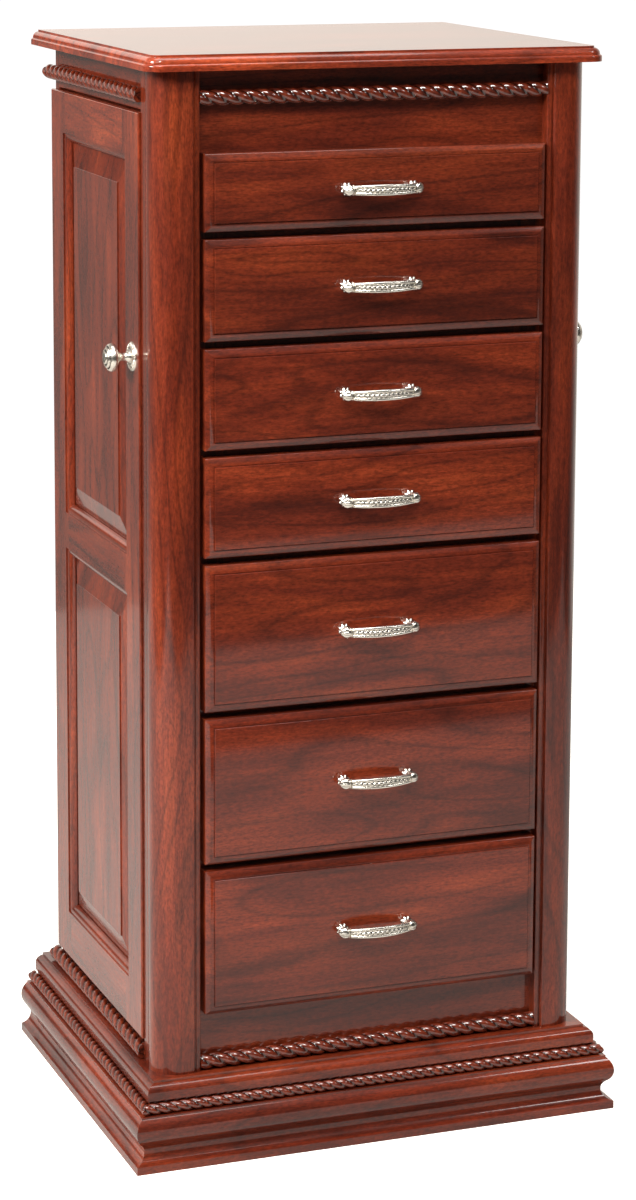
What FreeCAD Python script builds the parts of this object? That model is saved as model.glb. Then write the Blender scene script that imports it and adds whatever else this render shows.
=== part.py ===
import FreeCAD, Part
import os

V = FreeCAD.Vector

# Jewelry armoire: a plinth, a case with rounded front corner posts, seven drawers in front,
# a tall panelled door on each side, and a lid over a shallow tray.
# Millimetres. Origin: centre of the plinth's underside. +X right, -Y front, +Z up.

# ---------------------------------------------------------------- driving dimensions
CASE_W = 501.0             # over the faces of the two corner posts
CASE_D = 413.0             # post faces to the back of the case

POST_W = 50.0
POST_D = 60.0
POST_ROUND_R = 29.0        # the outer corner of a post
POST_FRONT_FILLET = 9.0    # stepped strip along the drawers
POST_SIDE_FILLET = 24.0    # stepped strip along the door
POST_STEP = 2.8

LEDGE_SIDE = 35.25         # plinth beyond the case
LEDGE_FRONT = 34.0
LEDGE_BACK = 25.0

FACE_SETBACK = 17.0        # post face to the face frame
FACE_T = 18.0
SMALL_FACE_H = 83.5        # the top drawer's front
MIDDLE_FACE_H = 109.7
TALL_FACE_H = 162.7
DRAWER_FACES = [SMALL_FACE_H] + 3 * [MIDDLE_FACE_H] + 3 * [TALL_FACE_H]   # top to bottom
FACE_GAP = 8.1             # between two drawer fronts
FACE_SIDE_GAP = 4.0        # between a drawer front and a post
FACE_EDGE_T = 17.5         # drawer front at its edge
FACE_BACK_GAP = 0.5        # behind a closed drawer front
BEVEL_W = 10.0
BEVEL_RISE = 4.3
FIELD_STEP = 1.2
APRON_SHOW = 66.0          # plinth top to the bottom drawer front
FRIEZE_SHOW = 88.2         # top drawer front to the top of the case
RAIL_H = 20.0              # face frame rail between two drawers

NECKLACE_SPACE = 50.5      # a door's inner face to the partition
PARTITION_T = 10.0
BOARD_T = 12.0             # bottom board
TRAY_FLOOR_T = 8.0
BACK_T = 9.0
BACK_STILE_D = 14.5
SIDE_SETBACK = 10.5        # post side face to the side frieze, rail and back stile
SIDE_T = 18.0
DOOR_STOP_GAP = 1.0

BOX_BACK_GAP = 47.5        # drawer box to the back panel
BOX_SIDE_GAP = 2.0
BOX_T = 10.0
BOX_BOTTOM_T = 4.0
BOX_BOTTOM_LIFT = 3.0
BOX_LIFT = 1.0             # box over the rail below it
BOX_HEADROOM = 3.0
RUNNER_W = 10.0
RUNNER_H = 8.0
RUNNER_GAP = 0.3

LID_T = 17.0
LID_GAP = 0.3
LID_OVER_SIDE = 13.0
LID_OVER_FRONT = 14.5
LID_OVER_BACK = 21.0
LID_CORNER_R = 18.0
LIP_H = 7.5                # lower lip of the lid's edge
LIP_ROUND = 2.5
LID_TOP_INSET = 8.7
LID_TOP_EDGE = 2.0
COVE_START = 2.2

DOOR_T = 20.0
DOOR_GAP = 1.5
DOOR_FRONT_EASE = 2.0
DOOR_TOP_Z_DROP = 48.5     # case top to the door's top edge
DOOR_FOOT = 23.0           # plinth top to the door's bottom edge
STILE_W = 48.0             # flat of a door stile
TOP_RAIL_W = 47.0
MIDDLE_RAIL_W = 42.0
BOTTOM_RAIL_W = 56.0
STICKING_W = 10.0          # moulded inner edge of the door frame
STICKING_DEPTH = 8.0
STICKING_QUIRK = 1.6
PANEL_SEAT_T = 1.0         # wood between the moulding's low edge and the panel's tongue
PANEL_BEVEL = 26.0
PANEL_FIELD_DEPTH = 2.0    # field behind the frame's face
PANEL_FIELD_STEP = 1.2
PANEL_TONGUE_T = 4.0
PANEL_TONGUE = 7.0         # tongue behind the frame
PANEL_PLAY = 0.3

ROPE_R = 8.5
ROPE_SEAT = 8.0            # rope centre to the board behind it
FRIEZE_ROPE_DROP = 29.5    # case top to the rope's centre
PLINTH_ROPE_R = 6.0

TOE_H = 8.8                # plinth profile, from the floor up
COVE_R = 12.75
COVE_INSET = 11.5
TORUS_R = 17.8
STEP_INSET = 7.5
STEP_H = 1.9
ROPE_BED_INSET = 21.0
ROPE_BED_H = 13.2
NOSE_INSET = 18.3
NOSE_H = 8.0
NOSE_ROUND = 9.0
CREST_H = 3.0
MOULDING_D = 75.0          # plinth moulding, outside to inside
PLINTH_BACK_T = 40.0

HINGE_R = 3.0
HINGE_GAP = 0.5
HINGE_LEAF_T = 1.0
HINGE_LEAF_W = 11.5
HINGE_L = 50.0
HINGE_PIN_R = 1.25
HINGE_BORE_R = 1.3
KNUCKLE_GAP = 0.3
HINGE_END = 110.0          # door end to a hinge's middle
LID_HINGE_X = 160.0

PULL_CC = 76.2
PULL_OVERHANG = 9.0        # bow past the middle of its foot
PULL_STAND = 25.0          # bow's outer face, in the middle
PULL_END_STAND = 14.0
PULL_T = 6.5
PULL_H = 13.0
PULL_EDGE = 2.0
PULL_FOOT_R = 5.0
PULL_PLATE_R = 7.5
PULL_PLATE_T = 2.0

KNOB_DROP = 266.0          # door top to the knob
KNOB_PLATE_R = 16.0
KNOB_PLATE_T = 3.5
KNOB_PLATE_PLAY = 0.05
KNOB_STEM_R = 6.0
KNOB_HEAD_R = 15.5
KNOB_HEAD_BACK = 18.0      # door face to the back of the head
KNOB_HEAD_T = 9.0
KNOB_DOME = 5.0
KNOB_TIP_R = 2.0           # flat middle of the dome

HOOK_RAIL_END = 42.75      # door's edge to the rail's end
HOOK_RAIL_H = 26.0
HOOK_RAIL_T = 9.0
HOOK_RAIL_DROP = 80.0      # door top to the rail's top
HOOK_COUNT = 8
HOOK_MARGIN = 18.0
HOOK_L = 16.0
HOOK_R = 1.6
HOOK_BALL_R = 3.2

CATCH_W = 14.0
CATCH_T = 10.0
CATCH_H = 40.0
CATCH_GAP = 0.5

MIRROR_T = 3.0
MIRROR_MARGIN_X = 35.0
MIRROR_MARGIN_Y = 35.0
TRAY_PAD_T = 2.0
DIVIDER_T = 6.0
DIVIDER_H = 45.0
RING_BAY_W = 160.0
ROLL_R = 10.0
ROLL_PITCH = 24.0
ROLL_PLAY = 0.3
ROLL_WALL_GAP = 8.0

CUT = 1.0                  # how far a cutting shape runs past what it cuts
MITRE_PAST = 2.0           # the same at a mitre

# ---------------------------------------------------------------- derived places
SLANT = 0.5 ** 0.5                    # cosine of 45 degrees, for the middle of a quarter round
COVE_Q = COVE_INSET - COVE_R          # cove's centre, measured inwards from the plinth's face
COVE_Z = TOE_H + (COVE_R ** 2 - COVE_Q ** 2) ** 0.5
TORUS_Z = COVE_Z + ((COVE_R + TORUS_R) ** 2 - (TORUS_R - COVE_Q) ** 2) ** 0.5
STEP_Z = TORUS_Z + (TORUS_R ** 2 - (TORUS_R - STEP_INSET) ** 2) ** 0.5
ROPE_BED_Z = STEP_Z + STEP_H
NOSE_Z = ROPE_BED_Z + ROPE_BED_H
CASE_Z = NOSE_Z + NOSE_H + NOSE_ROUND + CREST_H          # plinth top
STACK_H = sum(DRAWER_FACES) + FACE_GAP * (len(DRAWER_FACES) - 1)
STACK_TOP = CASE_Z + APRON_SHOW + STACK_H
CASE_TOP = STACK_TOP + FRIEZE_SHOW
LID_Z = CASE_TOP + LID_GAP

BASE_W = CASE_W + 2 * LEDGE_SIDE
BASE_D = LEDGE_FRONT + CASE_D + LEDGE_BACK
FRONT = -BASE_D / 2
CASE_FRONT = FRONT + LEDGE_FRONT
CASE_BACK = CASE_FRONT + CASE_D
FACE_Y = CASE_FRONT + FACE_SETBACK
INSIDE_Y = FACE_Y + FACE_T
BACK_Y = CASE_BACK - BACK_T
POST_BACK = CASE_FRONT + POST_D
STILE_Y = CASE_BACK - BACK_STILE_D
SIDE_X = CASE_W / 2
POST_X = SIDE_X - POST_W              # inner face of a post
PANEL_X = SIDE_X - SIDE_SETBACK       # outer face of side frieze, side rail and back stile
INNER_X = PANEL_X - SIDE_T
DOOR_X = SIDE_X - DOOR_T              # inner face of a door
BAY_X = DOOR_X - NECKLACE_SPACE - PARTITION_T         # the drawer bay's side

RAIL_OVERLAP = (RAIL_H - FACE_GAP) / 2
APRON_TOP = CASE_Z + APRON_SHOW + RAIL_OVERLAP
FRIEZE_Z = STACK_TOP - RAIL_OVERLAP
TRAY_Z = FRIEZE_Z                     # underside of the tray floor
TRAY_TOP = TRAY_Z + TRAY_FLOOR_T
DOOR_TOP = CASE_TOP - DOOR_TOP_Z_DROP
DOOR_FOOT_Z = CASE_Z + DOOR_FOOT
DOOR_Y0 = POST_BACK + DOOR_GAP
DOOR_Y1 = STILE_Y - DOOR_GAP

FACE_EDGE_Y = FACE_Y - FACE_BACK_GAP - FACE_EDGE_T
FIELD_Y = FACE_EDGE_Y - BEVEL_RISE - FIELD_STEP
FACE_W = 2 * (POST_X - FACE_SIDE_GAP)
BOX_Y0 = FACE_Y - FACE_BACK_GAP
BOX_Y1 = BACK_Y - BOX_BACK_GAP
PANEL_SEAT = STICKING_DEPTH + PANEL_SEAT_T            # door face to the panel's rebate
HINGE_OFFSET = HINGE_R + HINGE_GAP    # hinge axis to the two faces it joins


def box(x0, x1, y0, y1, z0, z1):
    return Part.makeBox(x1 - x0, y1 - y0, z1 - z0, V(x0, y0, z0))


def flip_x(shape):
    return shape.mirror(V(0, 0, 0), V(1, 0, 0))


def both_sides(shapes):
    return shapes + [flip_x(s) for s in shapes]


def rod(start, end, radius):
    along = end - start
    return Part.makeCylinder(radius, along.Length, start, along)


def arc(p0, p1, p2):
    return Part.Arc(p0, p1, p2).toShape()


def line(p0, p1):
    return Part.LineSegment(p0, p1).toShape()


def slab(edges, along):
    """A closed flat outline, pushed along a vector."""
    return Part.Face(Part.Wire(edges)).extrude(along)


def outline(points):
    return Part.makePolygon(points + points[:1]).Edges


def save(node, shapes):
    shape = shapes[0] if len(shapes) == 1 else Part.makeCompound(shapes)
    shape.exportStep("parts/" + node + ".step")


# ---------------------------------------------------------------- plinth
def plinth_profile(point):
    """Edges of the moulding's section. point(q, z) places q inwards and z upwards."""
    cove = point(COVE_INSET, COVE_Z)
    reach = COVE_R / (COVE_R + TORUS_R)
    join = point(COVE_Q + (TORUS_R - COVE_Q) * reach, COVE_Z + (TORUS_Z - COVE_Z) * reach)
    nose_top = NOSE_Z + NOSE_H
    round_end = point(NOSE_INSET + NOSE_ROUND, nose_top + NOSE_ROUND)
    round_mid = point(NOSE_INSET + NOSE_ROUND * (1 - SLANT), nose_top + NOSE_ROUND * SLANT)
    lower = [line(point(MOULDING_D, CASE_Z), point(MOULDING_D, 0)),
             line(point(MOULDING_D, 0), point(0, 0)),
             line(point(0, 0), point(0, TOE_H)),
             arc(point(0, TOE_H), cove, join),
             arc(join, point(0, TORUS_Z), point(STEP_INSET, STEP_Z)),
             line(point(STEP_INSET, STEP_Z), point(STEP_INSET, ROPE_BED_Z))]
    upper = [line(point(STEP_INSET, ROPE_BED_Z), point(ROPE_BED_INSET, ROPE_BED_Z)),
             line(point(ROPE_BED_INSET, ROPE_BED_Z), point(ROPE_BED_INSET, NOSE_Z)),
             line(point(ROPE_BED_INSET, NOSE_Z), point(NOSE_INSET, NOSE_Z)),
             line(point(NOSE_INSET, NOSE_Z), point(NOSE_INSET, nose_top)),
             arc(point(NOSE_INSET, nose_top), round_mid, round_end),
             line(round_end, point(NOSE_INSET + NOSE_ROUND, CASE_Z)),
             line(point(NOSE_INSET + NOSE_ROUND, CASE_Z), point(MOULDING_D, CASE_Z))]
    return lower + upper


def corner_wedge(side, height):
    """The space left of (side -1) or right of (side 1) a mitre at a front corner of the plinth."""
    reach = BASE_W
    corner = V(side * BASE_W / 2, FRONT, 0)
    inner = corner + V(-side * reach, reach, 0)
    outer = corner + V(side * reach, -reach, 0)
    far = V(side * 2 * reach, FRONT + reach, 0)
    return slab(outline([outer, far, inner]), V(0, 0, height))


def mitred_front(shape, height):
    for side in (-1, 1):
        shape = shape.cut(corner_wedge(side, height))
    return shape


def mitred_side(shape, height):
    return shape.common(corner_wedge(-1, height))


def plinth():
    front = slab(plinth_profile(lambda q, z: V(-BASE_W / 2, FRONT + q, z)), V(BASE_W, 0, 0))
    side = slab(plinth_profile(lambda q, z: V(-BASE_W / 2 + q, FRONT, z)), V(0, BASE_D, 0))
    save("plinth_front", [mitred_front(front, CASE_Z)])
    save("plinth_sides", both_sides([mitred_side(side, CASE_Z)]))
    inside = BASE_W / 2 - MOULDING_D
    save("plinth_back", [box(-inside, inside, -FRONT - PLINTH_BACK_T, -FRONT, 0, CASE_Z)])


def plinth_ropes():
    q = ROPE_BED_INSET - PLINTH_ROPE_R
    z = ROPE_BED_Z + PLINTH_ROPE_R
    front = rod(V(-BASE_W / 2, FRONT + q, z), V(BASE_W / 2, FRONT + q, z), PLINTH_ROPE_R)
    side = rod(V(-BASE_W / 2 + q, FRONT, z), V(-BASE_W / 2 + q, -FRONT, z), PLINTH_ROPE_R)
    height = CASE_Z
    save("plinth_ropes", [mitred_front(front, height)] + both_sides([mitred_side(side, height)]))


# ---------------------------------------------------------------- case
def corner_post():
    """The left post: a rounded corner between two stepped strips."""
    def at(u, v):
        return V(-SIDE_X + u, CASE_FRONT + v, CASE_Z)
    r = POST_ROUND_R
    slant = r * (1 - SLANT)
    front = POST_W - POST_FRONT_FILLET
    side = POST_D - POST_SIDE_FILLET
    path = [at(front, 0), at(front, POST_STEP), at(POST_W, POST_STEP), at(POST_W, POST_D),
            at(POST_STEP, POST_D), at(POST_STEP, side), at(0, side), at(0, r)]
    edges = [line(a, b) for a, b in zip(path, path[1:])]
    edges.append(arc(at(0, r), at(slant, slant), at(r, 0)))
    edges.append(line(at(r, 0), at(front, 0)))
    return slab(edges, V(0, 0, CASE_TOP - CASE_Z))


def post_room(side, z0, z1):
    """Room for a post where a board passes behind it."""
    x0, x1 = sorted((side * POST_X, side * (SIDE_X + CUT)))
    return box(x0, x1, CASE_FRONT - CUT, POST_BACK, z0 - CUT, z1 + CUT)


def inner_board(z0, z1):
    board = box(-INNER_X, INNER_X, INSIDE_Y, BACK_Y, z0, z1)
    for side in (-1, 1):
        board = board.cut(post_room(side, z0, z1))
    return board


def case():
    post = corner_post()
    save("corner_post_left", [post])
    save("corner_post_right", [flip_x(post)])
    save("back_stiles", both_sides([box(-PANEL_X, -INNER_X, STILE_Y, CASE_BACK, CASE_Z, CASE_TOP)]))
    save("frieze_front", [box(-POST_X, POST_X, FACE_Y, INSIDE_Y, FRIEZE_Z, CASE_TOP)])
    save("apron_front", [box(-POST_X, POST_X, FACE_Y, INSIDE_Y, CASE_Z, APRON_TOP)])
    board_z = DOOR_TOP + DOOR_GAP
    head = box(-PANEL_X, -INNER_X, POST_BACK, STILE_Y, board_z, CASE_TOP)
    tongue_x = DOOR_X - DOOR_STOP_GAP
    tongue = box(-tongue_x, -INNER_X, POST_BACK, STILE_Y, TRAY_Z, board_z)
    save("frieze_sides", both_sides([head.fuse(tongue).removeSplitter()]))
    foot = box(-PANEL_X, -INNER_X, POST_BACK, STILE_Y, CASE_Z, DOOR_FOOT_Z - DOOR_GAP)
    save("side_rails", both_sides([foot]))
    save("face_stiles", both_sides([box(-POST_X, -BAY_X, FACE_Y, INSIDE_Y, APRON_TOP, FRIEZE_Z)]))
    save("drawer_rails", [box(-BAY_X, BAY_X, FACE_Y, INSIDE_Y, z, z + RAIL_H) for z in rail_bottoms()])
    floor_top = CASE_Z + BOARD_T
    wall = box(-BAY_X - PARTITION_T, -BAY_X, INSIDE_Y, BACK_Y, floor_top, TRAY_Z)
    save("partitions", both_sides([wall]))
    save("back_panel", [box(-INNER_X, INNER_X, BACK_Y, CASE_BACK, CASE_Z, CASE_TOP)])
    save("bottom_board", [inner_board(CASE_Z, floor_top)])
    save("tray_floor", [inner_board(TRAY_Z, TRAY_TOP)])


def face_bottoms():
    """Underside of each drawer front, from the top drawer down."""
    z = STACK_TOP + FACE_GAP
    bottoms = []
    for height in DRAWER_FACES:
        z -= height + FACE_GAP
        bottoms.append(z)
    return bottoms


def rail_bottoms():
    return [z - FACE_GAP - RAIL_OVERLAP for z in face_bottoms()[:-1]]


def ropes_on_case(z):
    """A rope in front between the posts, and one along each side."""
    y = FACE_Y - ROPE_SEAT
    x = PANEL_X + ROPE_SEAT
    front = rod(V(-POST_X, y, z), V(POST_X, y, z), ROPE_R)
    front = front.cut(box(-SIDE_X, SIDE_X, FACE_Y, FACE_Y + ROPE_R, z - ROPE_R, z + ROPE_R))
    side = rod(V(-x, POST_BACK, z), V(-x, CASE_BACK, z), ROPE_R)
    side = side.cut(box(-PANEL_X, -PANEL_X + ROPE_R, POST_BACK, CASE_BACK, z - ROPE_R, z + ROPE_R))
    return [front] + both_sides([side])


def tray():
    """Felt, dividers and ring rolls in the tray under the lid."""
    pad = box(-INNER_X, INNER_X, POST_BACK, BACK_Y, TRAY_TOP, TRAY_TOP + TRAY_PAD_T)
    save("tray_pad", [pad])
    pad_top = TRAY_TOP + TRAY_PAD_T
    inner = RING_BAY_W / 2
    wall = box(-inner - DIVIDER_T, -inner, POST_BACK, BACK_Y, pad_top, pad_top + DIVIDER_H)
    save("tray_dividers", both_sides([wall]))
    start = POST_BACK + ROLL_WALL_GAP + ROLL_R
    count = int((BACK_Y - ROLL_WALL_GAP - ROLL_R - start) / ROLL_PITCH) + 1
    width = inner - ROLL_PLAY
    rolls = []
    for i in range(count):
        y = start + i * ROLL_PITCH
        roll = rod(V(-width, y, pad_top), V(width, y, pad_top), ROLL_R)
        rolls.append(roll.cut(box(-inner, inner, y - ROLL_R, y + ROLL_R, pad_top - ROLL_R, pad_top)))
    save("ring_rolls", rolls)


# ---------------------------------------------------------------- drawers
def drawer_front(z):
    """Bevelled front with a raised field, its underside at 0, given its height."""
    half = FACE_W / 2
    edge = box(-half, half, FACE_EDGE_Y, BOX_Y0, 0, z)

    def ring(inset, y):
        return Part.makePolygon([V(-half + inset, y, inset), V(half - inset, y, inset),
                                 V(half - inset, y, z - inset), V(-half + inset, y, z - inset),
                                 V(-half + inset, y, inset)])
    bevel_y = FACE_EDGE_Y - BEVEL_RISE
    bevel = Part.makeLoft([ring(0, FACE_EDGE_Y), ring(BEVEL_W, bevel_y)], True, True)
    field = box(-half + BEVEL_W, half - BEVEL_W, FIELD_Y, bevel_y, BEVEL_W, z - BEVEL_W)
    return edge.fuse([bevel, field]).removeSplitter()


def drawer_box(height):
    """Two sides, sub-front, back and bottom; underside at 0."""
    half = BAY_X - BOX_SIDE_GAP
    inner = half - BOX_T
    y0, y1 = BOX_Y0, BOX_Y1
    low = BOX_BOTTOM_LIFT
    return [box(-half, -inner, y0, y1, 0, height),
            box(inner, half, y0, y1, 0, height),
            box(-inner, inner, y0, y0 + BOX_T, 0, height),
            box(-inner, inner, y1 - BOX_T, y1, 0, height),
            box(-inner, inner, y0 + BOX_T, y1 - BOX_T, low, low + BOX_BOTTOM_T)]


def pull():
    """Bow handle with two feet, standing on the field of a drawer front, its middle at z 0."""
    end = PULL_CC / 2 + PULL_OVERHANG

    def bow(depth):
        return [V(-end, FIELD_Y - PULL_END_STAND + depth, -PULL_H / 2),
                V(0, FIELD_Y - PULL_STAND + depth, -PULL_H / 2),
                V(end, FIELD_Y - PULL_END_STAND + depth, -PULL_H / 2)]
    outer = bow(0)
    inner = bow(PULL_T)
    edges = [arc(*outer), line(outer[2], inner[2]), arc(*inner), line(inner[0], outer[0])]
    handle = slab(edges, V(0, 0, PULL_H))
    handle = handle.makeFillet(PULL_EDGE, handle.Edges)
    middle = FIELD_Y - (PULL_END_STAND + PULL_STAND) / 2 + PULL_T / 2
    feet = []
    for x in (-PULL_CC / 2, PULL_CC / 2):
        feet.append(rod(V(x, FIELD_Y, 0), V(x, middle, 0), PULL_FOOT_R))
        feet.append(rod(V(x, FIELD_Y, 0), V(x, FIELD_Y - PULL_PLATE_T, 0), PULL_PLATE_R))
    return handle.fuse(feet)


def moved(shape, z):
    return shape.translated(V(0, 0, z))


def drawers():
    handle = pull()
    runners = []
    for number, (z, height) in enumerate(zip(face_bottoms(), DRAWER_FACES), 1):
        node = "drawer_" + str(number)
        save(node + "_front", [moved(drawer_front(height), z)])
        box_z = z + RAIL_OVERLAP + BOX_LIFT
        box_top = z + height - RAIL_OVERLAP - BOX_HEADROOM
        save(node + "_box", [moved(board, box_z) for board in drawer_box(box_top - box_z)])
        save(node + "_pull", [moved(handle, z + height / 2)])
        top = box_z - RUNNER_GAP
        runners.append(box(-BAY_X, -BAY_X + RUNNER_W, INSIDE_Y, BACK_Y, top - RUNNER_H, top))
    save("drawer_runners", both_sides(runners))


# ---------------------------------------------------------------- hinges
def knuckle(z0, z1):
    return Part.makeCylinder(HINGE_R, z1 - z0, V(0, 0, z0))


def hinge(fold):
    """Fixed and moving leaf of a butt hinge about the Z axis.

    The fixed leaf lies on a face on the +X side of the axis and runs towards +Y. The moving
    leaf lies on a face on the -Y side and runs towards +X where fold is 1, and -X where it is -1.
    """
    third = HINGE_L / 6
    near = HINGE_OFFSET - HINGE_LEAF_T
    half = HINGE_L / 2
    clear = HINGE_OFFSET + HINGE_LEAF_W - HINGE_R
    fixed = box(near, HINGE_OFFSET, HINGE_OFFSET, clear, -half, half)
    for z0, z1 in ((-half, -third), (third, half)):
        fixed = fixed.fuse([box(near, HINGE_OFFSET, 0, HINGE_OFFSET, z0, z1), knuckle(z0, z1),
                            box(0, HINGE_OFFSET, 0, HINGE_LEAF_T, z0, z1)])
    fixed = fixed.fuse(Part.makeCylinder(HINGE_PIN_R, HINGE_L, V(0, 0, -half))).removeSplitter()
    inner = third - KNUCKLE_GAP
    moving = box(HINGE_OFFSET, clear, -HINGE_OFFSET, -near, -half, half)
    moving = moving.fuse([box(0, HINGE_OFFSET, -HINGE_OFFSET, -near, -inner, inner),
                          knuckle(-inner, inner)]).removeSplitter()
    moving = moving.cut(Part.makeCylinder(HINGE_BORE_R, HINGE_L, V(0, 0, -half)))
    if fold < 0:
        moving = flip_x(moving)
    return fixed, moving


def lid_side(leaf):
    """A leaf turned so that its axis runs along X and its fixed side hangs below the lid."""
    turn = FreeCAD.Matrix(0, 0, 1, 0, -1, 0, 0, 0, 0, -1, 0, 0, 0, 0, 0, 1)
    turned = leaf.copy()
    turned.Placement = FreeCAD.Placement(turn)
    return turned


# ---------------------------------------------------------------- side doors
def sticking(y0, y1, z0, z1):
    """Moulding cut round an opening on the door's outer face, mitred at its corners."""
    face_x = -SIDE_X
    w, d, quirk = STICKING_W, STICKING_DEPTH, STICKING_QUIRK

    def section(at):
        mid = at(w * (1 - SLANT), quirk + (d - quirk) * (1 - SLANT))
        return [line(at(-CUT, -CUT), at(w, -CUT)), line(at(w, -CUT), at(w, quirk)),
                arc(at(w, quirk), mid, at(0, d)), line(at(0, d), at(-CUT, d)),
                line(at(-CUT, d), at(-CUT, -CUT))]
    reach = w + MITRE_PAST
    strips = []
    for flip, low, high, edge in ((-1, y0, y1, z0), (1, y0, y1, z1)):
        strip = slab(section(lambda q, x: V(face_x + x, low - reach, edge + flip * q)),
                     V(0, high - low + 2 * reach, 0))
        strips.append(strip.common(wedge_z(low, high, edge, flip, reach)))
    for flip, low, high, edge in ((-1, z0, z1, y0), (1, z0, z1, y1)):
        strip = slab(section(lambda q, x: V(face_x + x, edge + flip * q, low - reach)),
                     V(0, 0, high - low + 2 * reach))
        strips.append(strip.common(wedge_y(low, high, edge, flip, reach)))
    return strips


def wedge_z(y0, y1, z, flip, reach):
    """The space between the two mitres of a moulding that lies along Y."""
    x, past = -SIDE_X - MITRE_PAST, MITRE_PAST
    points = [V(x, y0 + past, z - flip * past), V(x, y1 - past, z - flip * past),
              V(x, y1 + reach, z + flip * reach), V(x, y0 - reach, z + flip * reach)]
    return slab(outline(points), V(DOOR_T, 0, 0))


def wedge_y(z0, z1, y, flip, reach):
    """The space between the two mitres of a moulding that stands along Z."""
    x, past = -SIDE_X - MITRE_PAST, MITRE_PAST
    points = [V(x, y - flip * past, z0 + past), V(x, y - flip * past, z1 - past),
              V(x, y + flip * reach, z1 + reach), V(x, y + flip * reach, z0 - reach)]
    return slab(outline(points), V(DOOR_T, 0, 0))


def door_openings():
    """The two openings of a door frame, as low and high Y and Z."""
    y0 = DOOR_Y0 + STILE_W + STICKING_W
    y1 = DOOR_Y1 - STILE_W - STICKING_W
    rails = TOP_RAIL_W + MIDDLE_RAIL_W + BOTTOM_RAIL_W
    height = (DOOR_TOP - DOOR_FOOT_Z - rails) / 2
    low = DOOR_FOOT_Z + BOTTOM_RAIL_W
    high = low + height + MIDDLE_RAIL_W
    inset = STICKING_W
    return [(y0, y1, z + inset, z + height - inset) for z in (low, high)]


def door_frame():
    """Two stiles and three rails of the left door."""
    plate = box(-SIDE_X, -DOOR_X, DOOR_Y0, DOOR_Y1, DOOR_FOOT_Z, DOOR_TOP)
    long_edges = [e for e in plate.Edges if abs(e.BoundBox.XMax + SIDE_X) < 0.01]
    plate = plate.makeFillet(DOOR_FRONT_EASE, long_edges)
    openings = door_openings()
    room = PANEL_TONGUE + PANEL_PLAY
    for y0, y1, z0, z1 in openings:
        plate = plate.cut(box(-SIDE_X - CUT, -DOOR_X + CUT, y0, y1, z0, z1))
        plate = plate.cut(box(-SIDE_X + PANEL_SEAT, -DOOR_X + CUT, y0 - room, y1 + room,
                              z0 - room, z1 + room))
        for strip in sticking(y0, y1, z0, z1):
            plate = plate.cut(strip)
    y0, y1 = openings[0][:2]
    z_cuts = [DOOR_FOOT_Z, openings[0][2], openings[0][3], openings[1][2], openings[1][3], DOOR_TOP]
    outside = -SIDE_X - CUT
    pieces = [plate.common(box(outside, 0, DOOR_Y0 - CUT, y0, 0, CASE_TOP)),
              plate.common(box(outside, 0, y1, DOOR_Y1 + CUT, 0, CASE_TOP))]
    for low, high in zip(z_cuts[::2], z_cuts[1::2]):
        pieces.append(plate.common(box(outside, 0, y0, y1, low - CUT, high + CUT)))
    return [solid for piece in pieces for solid in piece.Solids]


def door_panel(y0, y1, z0, z1):
    """Raised panel: a field, a small step, a bevel, and a tongue behind the frame."""
    tongue_x = -SIDE_X + PANEL_SEAT + PANEL_PLAY
    field_x = -SIDE_X + PANEL_FIELD_DEPTH
    top_x = field_x + PANEL_FIELD_STEP
    grow = PANEL_TONGUE
    tongue = box(tongue_x, tongue_x + PANEL_TONGUE_T, y0 - grow, y1 + grow, z0 - grow, z1 + grow)

    def ring(x, inset):
        return Part.makePolygon([V(x, y0 + inset, z0 + inset), V(x, y1 - inset, z0 + inset),
                                 V(x, y1 - inset, z1 - inset), V(x, y0 + inset, z1 - inset),
                                 V(x, y0 + inset, z0 + inset)])
    bevel = Part.makeLoft([ring(tongue_x, PANEL_PLAY), ring(top_x, PANEL_BEVEL)], True, True)
    inset = PANEL_BEVEL
    field = box(field_x, tongue_x, y0 + inset, y1 - inset, z0 + inset, z1 - inset)
    return tongue.fuse([bevel, field]).removeSplitter()


def knob():
    """Turned knob on a round plate, on the front stile of the left door."""
    y = DOOR_Y0 + STILE_W / 2
    z = DOOR_TOP - KNOB_DROP
    face = -SIDE_X

    def turned(points, rounds):
        """Revolve an outline of (radius, distance from the door); rounds maps a corner to its bulge."""
        at = [V(face - d, y + r, z) for r, d in points]
        edges = []
        for i, start in enumerate(at):
            end = at[(i + 1) % len(at)]
            if i in rounds:
                bulge = V(face - rounds[i][1], y + rounds[i][0], z)
                edges.append(arc(start, bulge, end))
            else:
                edges.append(line(start, end))
        return Part.Face(Part.Wire(edges)).revolve(V(face, y, z), V(1, 0, 0), 360)
    bore = KNOB_STEM_R + KNOB_PLATE_PLAY
    plate_r = KNOB_PLATE_R
    plate = turned([(bore, 0), (plate_r, 0), (plate_r, KNOB_PLATE_T / 3), (bore, KNOB_PLATE_T)],
                   {2: (plate_r * 0.7, KNOB_PLATE_T * 0.85)})
    r = KNOB_HEAD_R
    back = KNOB_HEAD_BACK
    rim = back + KNOB_HEAD_T
    head = turned([(0, 0), (KNOB_STEM_R, 0), (KNOB_STEM_R, back), (r * 0.6, back),
                   (r, back + KNOB_HEAD_T / 3), (r, rim), (KNOB_TIP_R, rim + KNOB_DOME),
                   (0, rim + KNOB_DOME)],
                  {5: (r * 0.6, rim + KNOB_DOME * 0.7)})
    return [plate, head]


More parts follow.
